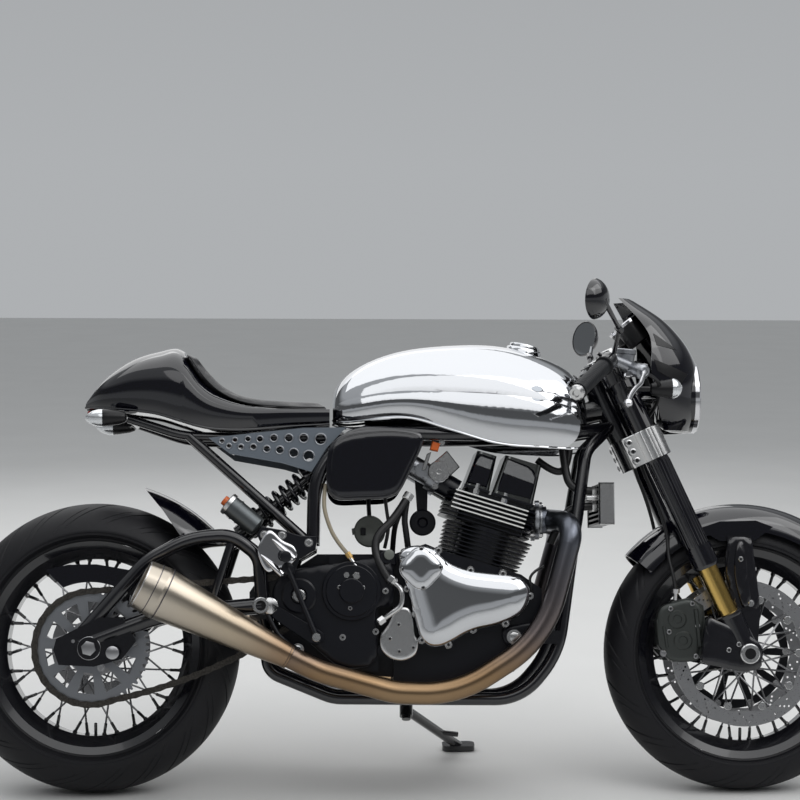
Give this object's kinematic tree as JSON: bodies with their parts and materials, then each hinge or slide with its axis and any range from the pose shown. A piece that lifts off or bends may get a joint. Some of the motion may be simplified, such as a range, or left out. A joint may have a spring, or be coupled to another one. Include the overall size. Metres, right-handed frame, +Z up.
{
  "type": "cafe racer motorcycle",
  "caption": "Full-size cafe racer motorcycle with a finned twin engine, polished tank, reverse-cone silencers and wire wheels, leaning on its side stand.",
  "frame": {"origin": "on the ground, in the middle of the parked machine's bounding box", "axes": "+X forward, +Y to the machine's left, +Z up; the machine leans 12 degrees towards +Y"},
  "size_m": [2.0349, 0.8087, 1.1342],
  "materials": {
    "tyre_rubber": "matt tread rubber",
    "black_paint": "satin black",
    "black_gloss": "gloss black",
    "black_casting": "satin black casting",
    "spoke_steel": "dull steel",
    "disc_steel": "ground steel",
    "chain_steel": "oiled steel",
    "grey_alloy": "cast alloy",
    "polished_alloy": "mirror polished",
    "pipe_steel": "heat-tinted stainless",
    "gold_steel": "gold nitride",
    "pad_leather": "smooth black",
    "grey_paint": "satin grey",
    "black_plastic": "black",
    "grip_rubber": "ribbed rubber"
  },
  "bodies": {
    "chassis": {"barrel": "black_casting", "chain": "chain_steel", "crankcase": "black_casting", "cylinder_head": "black_casting", "frame": "black_paint", "gearbox_cover": "black_casting", "headers": "pipe_steel", "intakes": "grey_alloy", "megaphones": "pipe_steel", "oil_cooler": "grey_alloy", "rear_guards": "black_gloss", "rear_lamps": "black_plastic", "rearsets": "grey_alloy", "rocker_boxes": "grey_alloy", "seat_pad": "pad_leather", "seat_shell": "black_gloss", "shocks": "black_paint", "side_covers": "black_gloss", "side_plates": "grey_paint", "swingarm": "black_paint", "tank": "polished_alloy", "timing_cover": "polished_alloy"},
    "steering": {"yokes": "black_paint", "fork_tubes": "black_gloss", "stanchions": "gold_steel", "fork_feet": "black_paint", "front_calipers": "grey_alloy", "front_mudguard": "black_gloss", "handlebars": "black_plastic", "grips": "grip_rubber", "headlamp": "black_plastic", "fairing": "black_gloss", "front_indicators": "black_plastic", "instruments": "black_plastic"},
    "front_wheel": {"front_tyre": "tyre_rubber", "front_rim": "black_paint", "front_hub": "spoke_steel", "front_discs": "disc_steel", "disc_carriers": "black_paint"},
    "rear_wheel": {"rear_tyre": "tyre_rubber", "rear_rim": "black_paint", "rear_hub": "spoke_steel", "rear_disc": "disc_steel", "sprocket": "grey_alloy"},
    "stand": {"side_stand": "black_paint"}
  },
  "joints": [
    {"name": "steering_turn", "type": "hinge", "parent": "chassis", "child": "steering", "pos_m": [0.43745, 0.00102, 0.81501], "axis": [-0.4147, 0.1892, 0.8901], "range_deg": [-27, 27]},
    {"name": "front_wheel_spin", "type": "hinge", "parent": "steering", "child": "front_wheel", "pos_m": [0.7175, -0.10954, 0.29488], "axis": [0, 0.9781, -0.2079], "continuous": true},
    {"name": "rear_wheel_spin", "type": "hinge", "parent": "chassis", "child": "rear_wheel", "pos_m": [-0.7025, -0.10642, 0.30955], "axis": [0, 0.9781, -0.2079], "continuous": true},
    {"name": "side_stand_swing", "type": "hinge", "parent": "chassis", "child": "stand", "pos_m": [-0.0175, -0.02701, 0.14444], "axis": [0.0083, 0.5871, 0.8095], "range_deg": [0, 105]}
  ]
}
